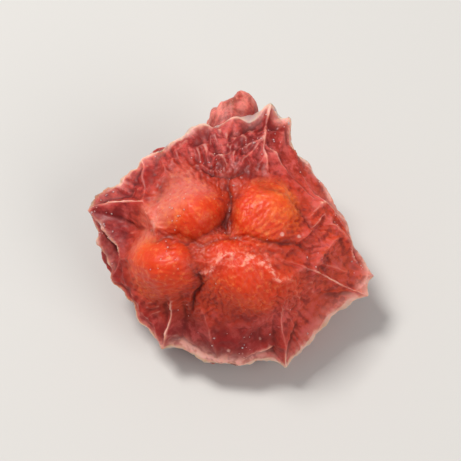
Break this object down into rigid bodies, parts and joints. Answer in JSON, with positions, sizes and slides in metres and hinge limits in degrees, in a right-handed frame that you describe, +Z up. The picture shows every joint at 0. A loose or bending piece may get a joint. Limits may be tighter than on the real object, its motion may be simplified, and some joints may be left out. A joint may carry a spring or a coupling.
{
  "type": "dried schisandra berry",
  "caption": "Dried berry with a thin skin drawn into crests and hollow panels round the rounded humps of its seeds, lying on a small flat spot.",
  "frame": {"origin": "centre of the bounding box on the surface that the berry rests on", "axes": "+X right along the longest extent, +Y away from the viewer, +Z up out of the resting surface along the shortest extent; the face with the four humps looks up and towards -Y"},
  "size_m": [0.0084, 0.0078, 0.0047],
  "materials": {
    "dried_skin": "satin"
  },
  "bodies": {
    "root": {"dried_berry": "dried_skin"}
  },
  "joints": []
}
